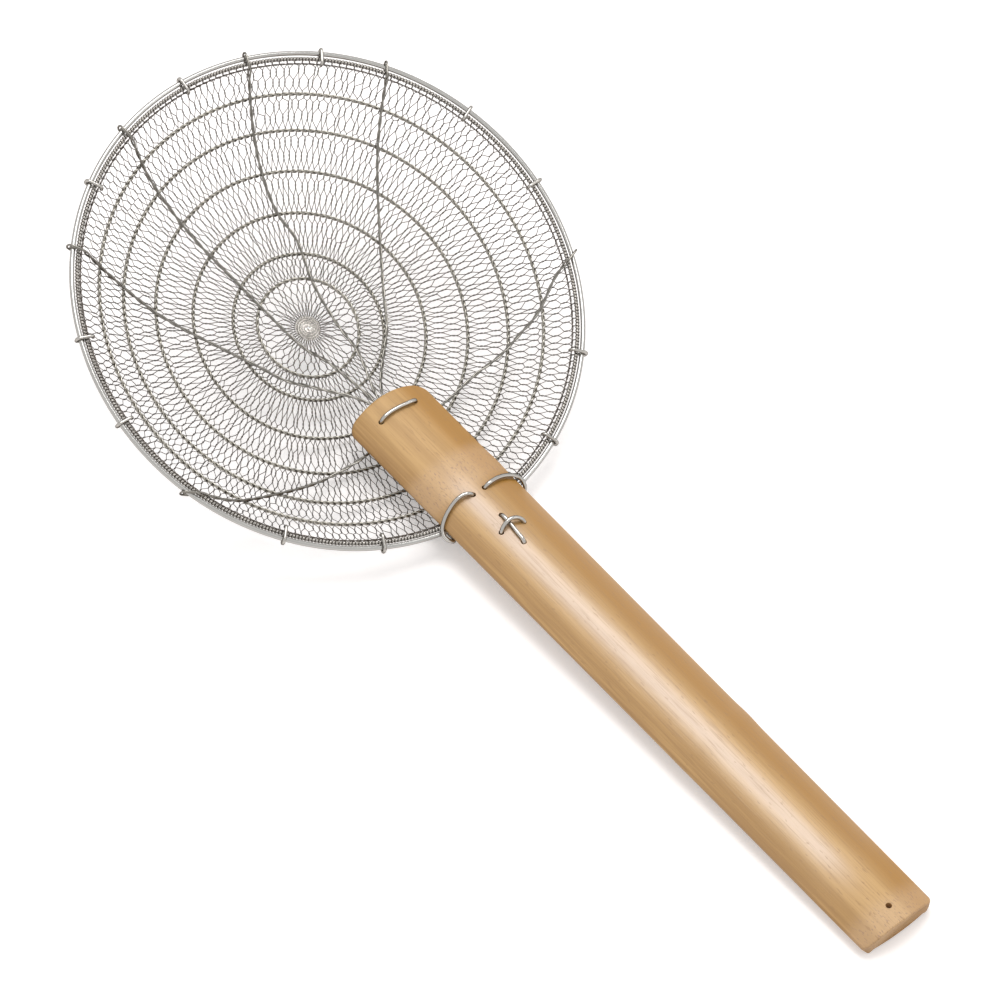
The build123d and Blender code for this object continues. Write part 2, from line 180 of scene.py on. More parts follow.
back = Vector((math.cos(ELEVATION) * math.cos(AZIMUTH), math.cos(ELEVATION) * math.sin(AZIMUTH),
               math.sin(ELEVATION)))
level = Vector((-math.sin(AZIMUTH), math.cos(AZIMUTH), 0))
upright = back.cross(level)
right = level * math.cos(ROLL) + upright * math.sin(ROLL)
top = upright * math.cos(ROLL) - level * math.sin(ROLL)
camera = bpy.data.objects.new("camera", bpy.data.cameras.new("camera"))
camera.data.sensor_width = 36.0
camera.data.lens = FOCAL_SHARE * camera.data.sensor_width
camera.data.clip_end = 20.0
camera.matrix_world = Matrix((right, top, back)).transposed().to_4x4()
camera.location = AIM + back * DISTANCE
bpy.context.scene.collection.objects.link(camera)
bpy.context.scene.camera = camera
print("camera at", [round(value, 3) for value in camera.location], "lens", round(camera.data.lens, 1), "mm")

# %% Materials: a helper for node trees


def new_material(name):
    """An empty node material with its output and a Principled shader."""
    material = bpy.data.materials.new(name)
    material.use_nodes = True
    shader = material.node_tree.nodes["Principled BSDF"]
    return material, material.node_tree, shader


def add_node(tree, kind, inputs=None, **settings):
    """One node, with its settings, and with each named input set to a value or linked to a socket."""
    node = tree.nodes.new(kind)
    for name, value in settings.items():
        setattr(node, name, value)
    for name, value in (inputs or {}).items():
        if isinstance(value, bpy.types.NodeSocket):
            tree.links.new(value, node.inputs[name])
        else:
            node.inputs[name].default_value = value
    return node


def calculate(tree, operation, *values):
    """The result of a Math node on numbers or sockets."""
    return add_node(tree, "ShaderNodeMath", operation=operation, inputs=dict(enumerate(values))).outputs[0]


def seen_directly(tree):
    """1 where the camera, gloss or glass looks straight at the surface, otherwise 0."""
    path = add_node(tree, "ShaderNodeLightPath")
    some = calculate(tree, "MAXIMUM", path.outputs["Is Camera Ray"], path.outputs["Is Glossy Ray"])
    return calculate(tree, "MAXIMUM", some, path.outputs["Is Transmission Ray"])


# %% Floor and world
WHITE = (1.0, 1.0, 1.0, 1.0)
FLOOR_COLOUR = (0.86, 0.825, 0.81, 1.0)
FLOOR_GLOW = 0.34
WORLD_LIGHT = 0.64

bpy.ops.mesh.primitive_plane_add(size=12.0, location=(0, 0, 0))
floor = bpy.context.object
floor.name = "floor"
floor_white, tree, shader = new_material("floor_white")
shader.inputs["Base Color"].default_value = FLOOR_COLOUR
shader.inputs["Roughness"].default_value = 0.9
shader.inputs["Specular IOR Level"].default_value = 0.0
shader.inputs["Emission Color"].default_value = WHITE
glow = calculate(tree, "MULTIPLY", seen_directly(tree), FLOOR_GLOW)
tree.links.new(glow, shader.inputs["Emission Strength"])
floor.data.materials.append(floor_white)

world = bpy.data.worlds.new("studio")
bpy.context.scene.world = world
world.use_nodes = True
tree = world.node_tree
background = tree.nodes["Background"]
background.inputs["Color"].default_value = WHITE
strength = add_node(tree, "ShaderNodeMapRange", inputs={
    "Value": seen_directly(tree), "To Min": WORLD_LIGHT, "To Max": 1.0})
tree.links.new(strength.outputs["Result"], background.inputs["Strength"])
bpy.context.scene.view_settings.view_transform = "Standard"

# %% Lamps


def soft_lamp(name, place, size, watts):
    """A square area lamp that faces the middle of the skimmer."""
    lamp = bpy.data.objects.new(name, bpy.data.lights.new(name, "AREA"))
    lamp.data.shape = "SQUARE"
    lamp.data.size = size
    lamp.data.energy = watts
    lamp.location = place
    lamp.rotation_euler = (Vector(place) - AIM).to_track_quat("Z", "Y").to_euler()
    bpy.context.scene.collection.objects.link(lamp)


soft_lamp("key_lamp", (-0.34, 0.29, 1.44), 0.85, 12.5)
soft_lamp("side_lamp", (1.1, 0.9, 1.1), 0.4, 1.2)

# %% [markdown]
# ## Steel wire
#
# All the wire is plain steel. Thick hoops are drawn smooth and shine, the thin net wire is duller and a little
# warm, because it has been bent and twisted by hand. One recipe makes all of them: a metal whose roughness and
# tint drift slowly along the wire, with fine scratches as a bump. Seen at a glancing angle the metal is darker,
# which draws a thin dark line along both sides of each wire. The same net wire gets a much paler steel where it
# gathers in the middle and where it is wound on the edge, which is painted light, and the inner hoop's steel is
# nearly black, painted shade for the gap between the hoops.

# %% Steel
DRIFT_SCALE = 90.0
MARK_SCALE = 2500.0
MARK_STRENGTH, MARK_DEPTH = 0.12, 0.0002


def steel(name, colour, edge, roughness, drift):
    """A wire finish: metal with a slow drift in tint and roughness, a darker tint where it is seen at a glancing
    angle, and fine drawing marks as bump."""
    material, tree, shader = new_material(name)
    place = add_node(tree, "ShaderNodeTexCoord").outputs["Object"]
    slow = add_node(tree, "ShaderNodeTexNoise", inputs={"Vector": place, "Scale": DRIFT_SCALE, "Detail": 3.0})
    dark = [part * (1 - drift) for part in colour] + [1.0]
    pale = [min(1.0, part * (1 + drift)) for part in colour] + [1.0]
    tint = add_node(tree, "ShaderNodeMix", data_type="RGBA", inputs={0: slow.outputs["Fac"], 6: dark, 7: pale})
    rough = add_node(tree, "ShaderNodeMapRange", inputs={
        "Value": slow.outputs["Fac"], "To Min": roughness * 0.75, "To Max": roughness * 1.25})
    marks = add_node(tree, "ShaderNodeTexNoise", inputs={"Vector": place, "Scale": MARK_SCALE, "Detail": 2.0})
    bump = add_node(tree, "ShaderNodeBump", inputs={
        "Height": marks.outputs["Fac"], "Strength": MARK_STRENGTH, "Distance": MARK_DEPTH})
    shader.inputs["Metallic"].default_value = 1.0
    shader.inputs["Specular Tint"].default_value = (edge, edge, edge, 1.0)
    tree.links.new(tint.outputs[2], shader.inputs["Base Color"])
    tree.links.new(rough.outputs["Result"], shader.inputs["Roughness"])
    tree.links.new(bump.outputs["Normal"], shader.inputs["Normal"])
    return material


hoop_steel = steel("hoop_steel", (0.46, 0.45, 0.43), 0.10, 0.14, 0.08)
# painted shade: the inner hoop's steel is nearly black, standing for the dark gap between the two hoops
core_steel_painted_shade = steel("core_steel_painted_shade", (0.10, 0.09, 0.08), 0.05, 0.35, 0.20)
# painted light: a much paler copy of the net wire's steel, for the gathered middle and the wound edge
pale_net_steel_painted_light = steel("pale_net_steel_painted_light", (0.62, 0.59, 0.55), 0.10, 0.25, 0.25)
ring_steel = steel("ring_steel", (0.37, 0.35, 0.31), 0.08, 0.20, 0.30)
rib_steel = steel("rib_steel", (0.27, 0.255, 0.23), 0.08, 0.20, 0.25)
net_steel = steel("net_steel", (0.14, 0.12, 0.105), 0.06, 0.32, 0.25)
tie_steel = steel("tie_steel", (0.46, 0.44, 0.41), 0.10, 0.14, 0.10)

# %% [markdown]
# ## The two hoops
#
# A bright hoop runs round the outside. A second one, a little inside and below it, carries the edge of the net;
# its steel is nearly black, painted shade for the dark gap between the hoops. Each is a ring of round wire: a
# circle for the path and a smaller circle carried round it.

# %% Rim hoop and edge hoop
HOOP_GAP = 0.8
EDGE_WIRE = 1.5
EDGE_DROP = 0.6
EDGE_RADIUS = RIM_RADIUS - RIM_WIRE / 2 - HOOP_GAP - EDGE_WIRE / 2


def circle(radius, height, count):
    """Points of a level circle, as one closed path, with the outward direction and the angle at each."""
    angle = 2 * np.pi * np.arange(count) / count
    outward = np.stack([np.cos(angle), np.sin(angle), 0 * angle], -1)[None]
    return outward * radius + [0, 0, height], outward, angle


HOOP_STEPS = 480
HOOP_SIDES = 20
centre, outward, angle = circle(RIM_RADIUS, 0, HOOP_STEPS)
points, faces = wire_surface(centre, outward, RIM_WIRE / 2, HOOP_SIDES, True)
rim_hoop = put_piece("bright_rim", points, faces, hoop_steel, "hoop_wire")
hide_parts("rim_hoop")
centre, outward, angle = circle(EDGE_RADIUS, -EDGE_DROP, HOOP_STEPS)
points, faces = wire_surface(centre, outward, EDGE_WIRE / 2, HOOP_SIDES, True)
# the inner hoop takes the near-black steel, painted shade for the gap between the hoops
edge_hoop = put_piece("net_hoop", points, faces, core_steel_painted_shade, "hoop_wire")
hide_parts("edge_hoop")

# %% [markdown]
# ## Support rings
#
# Six rings hold the net in shape on its way down. Each is two wires twisted together, half a turn for each gap
# of the net, whose wires pass between them. A twist is a path with a direction that turns as it goes along: one
# strand lies on that direction and the other one opposite.

# %% Rings of two strands
BOWL_DEPTH = 42.5
RING_RADII = RIM_RADIUS * np.array([0.873, 0.759, 0.618, 0.462, 0.300, 0.202])
RING_HEIGHTS = -BOWL_DEPTH * np.array([0.286, 0.546, 0.755, 0.882, 0.941, 0.970])
CELLS_AROUND = (204, 196, 180, 150, 120, 90, 40)
STRAND_WIRE = 1.0
STRANDS_APART = 1.05
STEPS_PER_TURN = 12
STRAND_SIDES = 8
profile_radii = np.array([EDGE_RADIUS, *RING_RADII, 0.0])
profile_heights = np.array([-EDGE_DROP, *RING_HEIGHTS, -BOWL_DEPTH])


def net_height(radius):
    """Height of the bowl at a distance from its axis: straight from each ring to the next."""
    return np.interp(radius, profile_radii[::-1], profile_heights[::-1])


for number, (radius, height) in enumerate(zip(RING_RADII, RING_HEIGHTS), 1):
    turns = CELLS_AROUND[number] // 2
    centre, outward, angle = circle(radius, height, turns * STEPS_PER_TURN)
    pair, across = strands(centre, outward, STRANDS_APART, turns * angle[None], True)
    points, faces = wire_surface(pair, across, STRAND_WIRE / 2, STRAND_SIDES, True)
    ring = put_piece(f"twisted_ring_{number}", points, faces, ring_steel, "ring_wire")
    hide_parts(f"support_ring_{number}")

# %% [markdown]
# ## The net
#
# The net is made as garden netting is. Two neighbouring wires twist round each other for a few millimetres, part,
# and each twists with its other neighbour in the next row, so the gaps are pointed at both ends. One wire's path
# is simple: it swings from the middle of one pair to the middle of the next and back. All the wires of a round
# are worked out at once, and small seeded shifts of each twist keep the rows from looking drawn by machine.

# %% Paths of the net's wires
NET_WIRE = 0.39
TWIST_APART = 0.46
ROWS = 3
TWIST_HALF = 0.30
TWIST_TURNS = 1.0
TWIST_STEPS = 7
SHIFT_AROUND = 0.13
SHIFT_ALONG = 0.07
ROW_WANDER = 0.05
SHIFT_AT_RING = 0.3
NET_SIDES = 4
shifts = np.random.default_rng(7)


def net_wires(cells, outer, inner, rows):
    """Paths of one round's wires. A wire's place around is the middle of its pair in each row, and its place
    inwards is the row's; along a twist, it also turns once round the pair's middle."""
    wires = 2 * cells
    wire = np.arange(wires)
    angles, inwards, sideways, depths = [], [], [], []
    for row in range(rows + 1):
        odd = row % 2
        pair = (wire - odd) // 2 % cells
        side = np.where((wire - odd) % 2 == 0, -1.0, 1.0)
        middle = 2 * ((wire - odd) // 2) + odd + 0.5
        at_ring = row in (0, rows)
        middle = middle + shifts.normal(0, 2 * SHIFT_AROUND * (SHIFT_AT_RING if at_ring else 1.0), cells)[pair]
        swell = shifts.normal(0, ROW_WANDER, 4)
        wander = sum(size * np.sin((3 + 4 * wave) * 2 * np.pi * wire / wires + wave) for wave, size in enumerate(swell))
        place = row + (not at_ring) * (wander + shifts.normal(0, SHIFT_ALONG, cells)[pair])
        first = 0.0 if row == 0 else -TWIST_HALF
        last = 0.0 if row == rows else TWIST_HALF
        steps = np.linspace(first, last, TWIST_STEPS if at_ring else 2 * TWIST_STEPS - 1)
        turn = np.pi * TWIST_TURNS * (steps - first) / TWIST_HALF
        angles.append(middle[:, None] + 0 * steps)
        inwards.append(place[:, None] + steps)
        sideways.append(side[:, None] * np.cos(turn) * TWIST_APART / 2)
        depths.append(side[:, None] * np.sin(turn) * TWIST_APART / 2)
    inward = np.clip(np.concatenate(inwards, 1) / rows, 0, 1)
    radius = outer + (inner - outer) * inward
    around = np.concatenate(angles, 1) * np.pi / cells
    around = around + np.concatenate(sideways, 1) / np.maximum(radius, 2.0)
    height = net_height(radius) + np.concatenate(depths, 1)
    return np.stack([radius * np.cos(around), radius * np.sin(around), height], -1), around


# %% Rounds of the net
for index in range(len(CELLS_AROUND) - 1):
    paths, around = net_wires(CELLS_AROUND[index], profile_radii[index], profile_radii[index + 1], ROWS)
    across = np.stack([-np.sin(around), np.cos(around), 0 * around], -1)
    points, faces = wire_surface(paths, across, NET_WIRE / 2, NET_SIDES, False)
    net = put_piece(f"wire_net_{index + 1}", points, faces, net_steel, "net_wire")
    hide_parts(f"net_round_{index + 1}")

# %% [markdown]
# ## The middle and the edge of the net
#
# The innermost round has fewer gaps. At the lowest point all its wires come together in a small pinched swirl with
# a fold or two, as a cloth gathered by hand. At the edge the net is wound on the inner hoop, which is drawn as two
# coils of fine wire, and a thin pair of wires lies along the hoop's inside, where the first gaps begin.

# %% The gathered middle
MIDDLE_ROWS = 4
GATHER_RADIUS = 6.6
GATHER_STEPS = 26
GATHER_TURN = 0.9
GATHER_RISE = 1.0
GATHER_HOLE = 0.7
FOLD_RISE = 1.1
FOLD_PLACE, FOLD_LOOSE = 0.35, 0.15
RIPPLE = 0.2

cells = CELLS_AROUND[-1]
paths, around = net_wires(cells, profile_radii[-2], GATHER_RADIUS, MIDDLE_ROWS)
across = np.stack([-np.sin(around), np.cos(around), 0 * around], -1)
woven = wire_surface(paths, across, NET_WIRE / 2, NET_SIDES, False)
share = np.linspace(0, 1, GATHER_STEPS)
start_angle = around[:, -1:]
swirl = start_angle + GATHER_TURN * share ** 1.5
reach = GATHER_RADIUS * (1 - share) ** 0.8 + GATHER_HOLE * share
fold = np.mod(start_angle / np.pi + FOLD_PLACE, 1.0) + FOLD_LOOSE * shifts.normal(0, 1, start_angle.shape)
hump = GATHER_RISE * np.sin(np.pi * share / 2) ** 2 + FOLD_RISE * fold * np.sin(np.pi * share)
rise = net_height(reach) + hump + RIPPLE * np.sin(9 * share * np.pi + 3 * start_angle)
paths = np.stack([reach * np.cos(swirl), reach * np.sin(swirl), rise], -1)
across = np.stack([-np.sin(swirl), np.cos(swirl), 0 * swirl], -1)
gathered = wire_surface(paths, across, NET_WIRE / 2, NET_SIDES, False)
net = put_piece("wire_net_7", *woven, net_steel, "net_wire")
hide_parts("net_round_7")
# the gathered middle takes the pale steel, painted light where its wires crowd together
put_piece("gathered_middle", *gathered, pale_net_steel_painted_light, "net_wire")

# %% The wound edge
WINDING_WIRE = 0.42
WINDING_TURNS = 480
WINDING_STEPS = 10
SELVAGE_IN = 1.9
SELVAGE_WIRE = 0.5
SELVAGE_APART = 0.55
COIL_STARTS = (0.0, 1.8)

coils = []
for start_turn in COIL_STARTS:
    centre, outward, angle = circle(EDGE_RADIUS, -EDGE_DROP, WINDING_TURNS * WINDING_STEPS)
    turn = WINDING_TURNS * angle[None, :, None] + start_turn
    coil = centre + (EDGE_WIRE + WINDING_WIRE) / 2 * (np.cos(turn) * outward + np.sin(turn) * UP)
    coils.append(wire_surface(coil, np.broadcast_to(UP, coil.shape), WINDING_WIRE / 2, NET_SIDES, True))
# the wound edge takes the pale steel, painted light on the net's own wire
put_piece("wound_edge", *join_surfaces(coils), pale_net_steel_painted_light, "net_wire")
turns = CELLS_AROUND[0] // 2
selvage_radius = EDGE_RADIUS - SELVAGE_IN
centre, outward, angle = circle(selvage_radius, net_height(selvage_radius), turns * STEPS_PER_TURN)
pair, across = strands(centre, outward, SELVAGE_APART, turns * angle[None], True)
put_piece("selvage", *wire_surface(pair, across, SELVAGE_WIRE / 2, NET_SIDES, True), net_steel, "net_wire")

# %% [markdown]
# ## The handle's own directions
#
# Much of what follows is placed on the handle: along it from its tip, across it, and above its crown. One
# function turns such places into points of the level bowl.

# %% Places on the handle, and smooth wires through places
PITCH = math.radians(20.2)
TIP_REACH = 50.2
TIP_DROP = 15.8
HANDLE_LENGTH = 364.0
HANDLE_RADIUS = 36.0
HANDLE_WALL = 6.9


def on_handle(places):
    """Points for places given along the handle from its tip, across it, and above its crown line."""
    along, across, above = np.moveaxis(np.asarray(places, float), -1, 0)
    return np.stack([TIP_REACH + along * math.cos(PITCH) - above * math.sin(PITCH), across,
                     above * math.cos(PITCH) + along * math.sin(PITCH) - TIP_DROP], -1)


def evenly(points, spacing):
    """Points at even steps along a line of many short runs: its length so far tells where each step falls."""
    length = np.concatenate([[0], np.cumsum(np.linalg.norm(np.diff(points, axis=0), axis=1))])
    steps = np.linspace(0, length[-1], max(4, int(length[-1] / spacing) + 1))
    return np.stack([np.interp(steps, length, points[:, part]) for part in range(3)], -1), steps


def smooth_through(places, spacing):
    """A smooth line through places: between two of them, a cubic that leaves each one in the direction from the
    place before it to the place after it."""
    places = np.asarray(places, float)
    knots = np.concatenate([[0], np.cumsum(np.linalg.norm(np.diff(places, axis=0), axis=1) ** 0.5)])
    slopes = np.gradient(places, knots, axis=0)
    fine = np.linspace(0, knots[-1], 40 * len(places))
    span = np.clip(np.searchsorted(knots, fine, side="right") - 1, 0, len(places) - 2)
    width = (knots[span + 1] - knots[span])[:, None]
    part = (fine[:, None] - knots[span][:, None]) / width
    line = ((1 + 2 * part) * (1 - part) ** 2 * places[span] + part * (1 - part) ** 2 * width * slopes[span]
            + part ** 2 * (3 - 2 * part) * places[span + 1] + part ** 2 * (part - 1) * width * slopes[span + 1])
    return evenly(line, spacing)


def rounded_corners(places, bends, spacing):
    """Straight runs with a curve at each corner: it starts and ends at the bend's distance from the corner and is
    drawn towards the corner, as the curve of three points."""
    places = np.asarray(places, float)
    bends = np.asarray(bends, float)[:, None]
    corner, before, after = places[1:-1], places[:-2], places[2:]
    first = corner + bends * unit(before - corner)
    last = corner + bends * unit(after - corner)
    part = np.linspace(0, 1, 12)[None, :, None]
    curves = (1 - part) ** 2 * first[:, None] + 2 * part * (1 - part) * corner[:, None] + part ** 2 * last[:, None]
    line = np.concatenate([places[:1], curves.reshape(-1, 3), places[-1:]])
    return evenly(line, spacing)


# %% [markdown]
# ## Ribs
#
# Six ribs brace the bowl. Each is one wire folded double and twisted loosely. Its fold hooks over both hoops,
# the pair runs down over the rings, and its ends gather under the tip of the handle. Seen in plan they run
# nearly straight, so a few places read off the picture are enough, and the rings give the height.

# %% Ribs
RIB_STRAND = 0.95
RIB_APART = 0.8
HOOK_APART = 1.6
RIB_LAY = 14.0
RIB_LIFT = 2.0
HOOK_TOP = 1.95
HOOK_OUT = RIM_RADIUS + RIM_WIRE / 2 + 0.9
HOOK_TUCK, HOOK_RUN, HOOK_BEND = 3.6, 6.5, 1.6
TWIST_FROM = 12.0
CLOSE_UP = (10.0, 22.0)
LIE_DOWN = (14.0, 29.0)
RIB_STEP = 0.8
RIB_SIDES = 10
RIB_SLOTS = 2.4
NEAR_REACH = 60.0
rib_plans = {
    "far_right": [(-119, 35), (-104, 30), (-80, 23), (-56, 19), (-39, 20), (-18, 15), (4, 13), (24, 10), (46, 4)],
    "far_left": [(-119, -39), (-96, -35), (-66, -27), (-32, -18), (-19, -15), (7, -9), (21, -6), (46, -1)],
    "middle_right": [(-82, 93), (-68, 85), (-50, 74), (-13, 53), (5, 42), (20, 33), (46, 8)],
    "middle_left": [(-84, -96), (-65, -81), (-40, -65), (-8, -43), (4, -35), (17, -27), (28, -20), (46, -5)],
    "near_right": [(42, 119), (47, 107), (54, 96), (58, 88), (60, 80), (63, 68), (64, 54), (65, 30)],
    "near_left": [(43, -121), (57, -100), (63, -77), (69, -41), (71, -28)],
}


def rib_line(plan, slot):
    """A rib's line: a hook over both hoops, then the plan's places raised to lie over the rings, as far as they
    lead down, then straight up to a slot under the handle's tip."""
    plan = np.asarray(plan, float)
    hook = unit(plan[0]) * HOOK_OUT
    inward = unit(plan[1] - hook)
    hook_places = [[*(hook + inward * reach), height] for reach, height in
                   ((HOOK_TUCK, -HOOK_TOP), (0.0, -HOOK_TOP), (0.0, HOOK_TOP), (HOOK_RUN, HOOK_TOP))]
    radius = np.linalg.norm(plan, axis=1)
    resting = plan[1:-1]
    heights = net_height(radius[1:-1]) + RIB_LIFT
    if abs(plan[0][0]) > NEAR_REACH:  # from the far side, in under the tip
        lead, tail = on_handle((-3.0, slot, -9.0)), on_handle((20.0, slot, -9.2))
    else:  # from beside the handle, back towards the tip
        lead, tail = on_handle((14.0, slot * 2.2, -13.0)), on_handle((4.0, slot, -9.2))
    lowest = int(np.argmin(heights))
    rise = np.linspace(0, 1, len(resting) - lowest + 1)[:-1]
    heights[lowest:] = np.maximum(heights[lowest:], heights[lowest] + rise * (lead[2] - heights[lowest]))
    return hook_places, np.concatenate([resting, heights[:, None]], 1), lead, tail


for number, (name, plan) in enumerate(rib_plans.items()):
    slot = RIB_SLOTS * (number // 2 + 0.5) * (1 if name.endswith("right") else -1)
    hook_places, resting, lead, tail = rib_line(plan, slot)
    hook_line, steps = rounded_corners(hook_places, [HOOK_BEND, HOOK_BEND], 0.2)
    run_line, steps = smooth_through([hook_line[-1], *resting, lead, tail], 0.2)
    line, steps = evenly(np.concatenate([hook_line, run_line[1:]]), RIB_STEP)
    line = line[None]
    run = unit(np.append(plan[1], 0.0) - np.append(plan[0], 0.0))
    beside = np.cross(UP, run)
    flat = np.cross(UP, directions(line, False))
    share = np.interp(steps, LIE_DOWN, (0.0, 1.0))[None, :, None]
    across = unit((1 - share) * beside + share * flat)
    turn = np.pi / 2 + 2 * np.pi * np.clip(steps - TWIST_FROM, 0, None)[None] / RIB_LAY
    apart = np.interp(steps, CLOSE_UP, (HOOK_APART, RIB_APART))[None, :, None]
    pair, pair_across = strands(line, across, apart, turn, False)
    points, faces = wire_surface(pair, pair_across, RIB_STRAND / 2, RIB_SIDES, False)
    rib = put_piece(f"twisted_rib_{name}", points, faces, rib_steel, "rib_wire")
    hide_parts(f"rib_{name}")

# %% [markdown]
# ## Clips
#
# Between the ribs, short wires are closed round both hoops and keep them together. Each is a small bent wire in
# the upright plane through the bowl's axis. They were closed by hand with pliers, so each stands a little askew.

# %% Rim clips
CLIP_ANGLES = (24.1, 46.7, 88.3, 110.3, 146.2, 180.0, 213.2, 249.8, 270.2, 313.0, 335.1)
CLIP_WIRE = 1.6
CLIP_IN, CLIP_OUT = EDGE_RADIUS - 3.1, RIM_RADIUS + 2.1
CLIP_PLACES = np.array([(CLIP_IN - 0.3, 0, -0.3), (CLIP_IN, 0, 2.15), (CLIP_OUT, 0, 2.15), (CLIP_OUT, 0, -2.2),
                        (CLIP_OUT - 4.2, 0, -2.2)])
CLIP_BENDS = (1.5, 1.9, 1.9)
CLIP_STEP = 0.35
CLIP_SIDES = 14
CLIP_SKEW = 4.0

bent, steps = rounded_corners(CLIP_PLACES, CLIP_BENDS, CLIP_STEP)
for number, angle in enumerate(CLIP_ANGLES, 1):
    skew = shifts.uniform(-CLIP_SKEW, CLIP_SKEW)
    turn = math.radians(angle)
    aside = (bent[:, 0] - (CLIP_IN + CLIP_OUT) / 2) * math.tan(math.radians(skew))
    line = np.stack([bent[:, 0] * math.cos(turn) - aside * math.sin(turn),
                     bent[:, 0] * math.sin(turn) + aside * math.cos(turn), bent[:, 2]], -1)[None]
    beside = np.broadcast_to(np.array([-math.sin(turn), math.cos(turn), 0.0]), line.shape)
    points, faces = wire_surface(line, beside, CLIP_WIRE / 2, CLIP_SIDES, False)
    clip = put_piece(f"bent_clip_{number:02d}", points, faces, tie_steel, "tie_wire")
    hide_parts(f"rim_clip_{number:02d}")

# %% [markdown]
# ## The bamboo handle
#
# A bamboo handle is a split of the cane's wall: round on top, hollow underneath, with radial sides. Its section
# is a closed loop of two arcs, two sides and four small rounded corners. The section is carried along the handle
# while its width tapers, the nodes swell a little, and both ends are rounded over. At the butt a node's wall is
# left in the hollow, so the inner arc is flattened there. The loop is the same number of points everywhere, so
# the whole handle is one grid.

# %% The handle's surface
TIP_WIDTH = 47.0
BUTT_WIDTH = 43.5
EDGE_ROUNDING = 1.2
TIP_BULGE, TIP_CORNER = 2.5, 6.0
BUTT_BULGE, BUTT_CORNER = 1.5, 4.0
NODE_PLACES = (57.1, 238.4)
NODE_SWELL, NODE_WIDTH = 0.35, 7.0
DIAPHRAGM, DIAPHRAGM_WIDTH, DIAPHRAGM_SHIFT = 1.0, 1.8, 1.5
TIP_ROUNDING, BUTT_ROUNDING = 1.6, 0.7
WEB_LENGTH, WEB_DROP = 7.4, 11.0
ARC_STEPS, CORNER_STEPS, SIDE_STEPS = 61, 7, 4


def on_arc(radius, turn):
    """Places across and above, at a radius and a turn from the upright."""
    return np.stack([radius * np.sin(turn), radius * np.cos(turn)])


def section_loop(outer, inner, half_turn, rounding):
    """One section per row, as places across and above. Going round: the outer arc, a corner, a side, a corner,
    the inner arc, and the other side's corners and side."""
    outer, inner, half_turn, rounding = (value[:, None] for value in (outer, inner, half_turn, rounding))
    outer_back = np.arcsin(rounding / (outer - rounding))
    inner_back = np.arcsin(rounding / (inner + rounding))
    arc = np.linspace(-1, 1, ARC_STEPS)
    bend = np.linspace(0, 1, CORNER_STEPS)[1:]
    outer_centre = on_arc(outer - rounding, half_turn - outer_back)
    inner_centre = on_arc(inner + rounding, half_turn - inner_back)
    outer_corner = outer_centre + on_arc(rounding, (half_turn - outer_back) + bend * (np.pi / 2 + outer_back))
    inner_corner = inner_centre + on_arc(rounding, half_turn + np.pi / 2 + bend * (np.pi / 2 - inner_back))
    side_from = outer_corner[..., -1:]
    side_to = inner_centre + on_arc(rounding, half_turn + np.pi / 2)
    side = side_from + (side_to - side_from) * np.linspace(0, 1, SIDE_STEPS + 1)[1:]
    right = np.concatenate([outer_corner, side, inner_corner], -1)
    left = right[..., ::-1] * np.array([-1.0, 1.0])[:, None, None]
    outer_arc = on_arc(outer, arc * (half_turn - outer_back))
    inner_arc = on_arc(inner, -arc[1:-1] * (half_turn - inner_back))
    across, height = np.concatenate([outer_arc, right, inner_arc, left], -1)
    return across, height - HANDLE_RADIUS


def end_set_back(across, half_width, bulge, corner):
    """How far an end stands back at a place across it: a shallow bow, plus the round of its corners."""
    beyond = np.clip(np.abs(across) - (half_width - corner), 0, corner)
    return bulge * (np.abs(across) / half_width) ** 2 + corner - np.sqrt(corner ** 2 - beyond ** 2)


round_over = np.linspace(0, np.pi / 2, 7)
tip_rows = TIP_ROUNDING * (1 - np.cos(round_over))
butt_rows = HANDLE_LENGTH - BUTT_ROUNDING * (1 - np.cos(round_over[::-1]))
body_rows = np.linspace(TIP_ROUNDING, HANDLE_LENGTH - BUTT_ROUNDING, 240)[1:-1]
rows = np.concatenate([tip_rows, body_rows, butt_rows])
tip_inset = TIP_ROUNDING * (1 - np.sin(round_over))
butt_inset = BUTT_ROUNDING * (1 - np.sin(round_over[::-1]))
inset = np.concatenate([tip_inset, 0 * body_rows, butt_inset])
half_width = np.interp(rows, (0, HANDLE_LENGTH), (TIP_WIDTH / 2, BUTT_WIDTH / 2))
swell = sum(np.exp(-((rows - place) / NODE_WIDTH) ** 2) for place in NODE_PLACES)
ridge = sum(np.exp(-((rows - place - DIAPHRAGM_SHIFT) / DIAPHRAGM_WIDTH) ** 2) for place in NODE_PLACES)
half_turn = np.arcsin(half_width / HANDLE_RADIUS) - inset / (HANDLE_RADIUS - HANDLE_WALL / 2)
outer_radius = HANDLE_RADIUS + NODE_SWELL * swell - inset
inner_radius = HANDLE_RADIUS - HANDLE_WALL - DIAPHRAGM * ridge + inset
across, above = section_loop(outer_radius, inner_radius, half_turn, np.maximum(EDGE_ROUNDING - 0.6 * inset, 0.3))
first_inner = ARC_STEPS + 2 * (CORNER_STEPS - 1) + SIDE_STEPS
inner_arc = slice(first_inner, first_inner + ARC_STEPS - 2)
web = rows > HANDLE_LENGTH - WEB_LENGTH
above[web, inner_arc] = np.minimum(above[web, inner_arc], inset[web, None] - WEB_DROP)
share = rows[:, None] / HANDLE_LENGTH
along = rows[:, None] + (1 - share) ** 8 * end_set_back(across, TIP_WIDTH / 2, TIP_BULGE, TIP_CORNER)
along = along - share ** 8 * end_set_back(across, BUTT_WIDTH / 2, BUTT_BULGE, BUTT_CORNER)
points = on_handle(np.stack([along, across, above], -1))
handle_faces = loop_faces(points)
print("handle grid", points.shape)

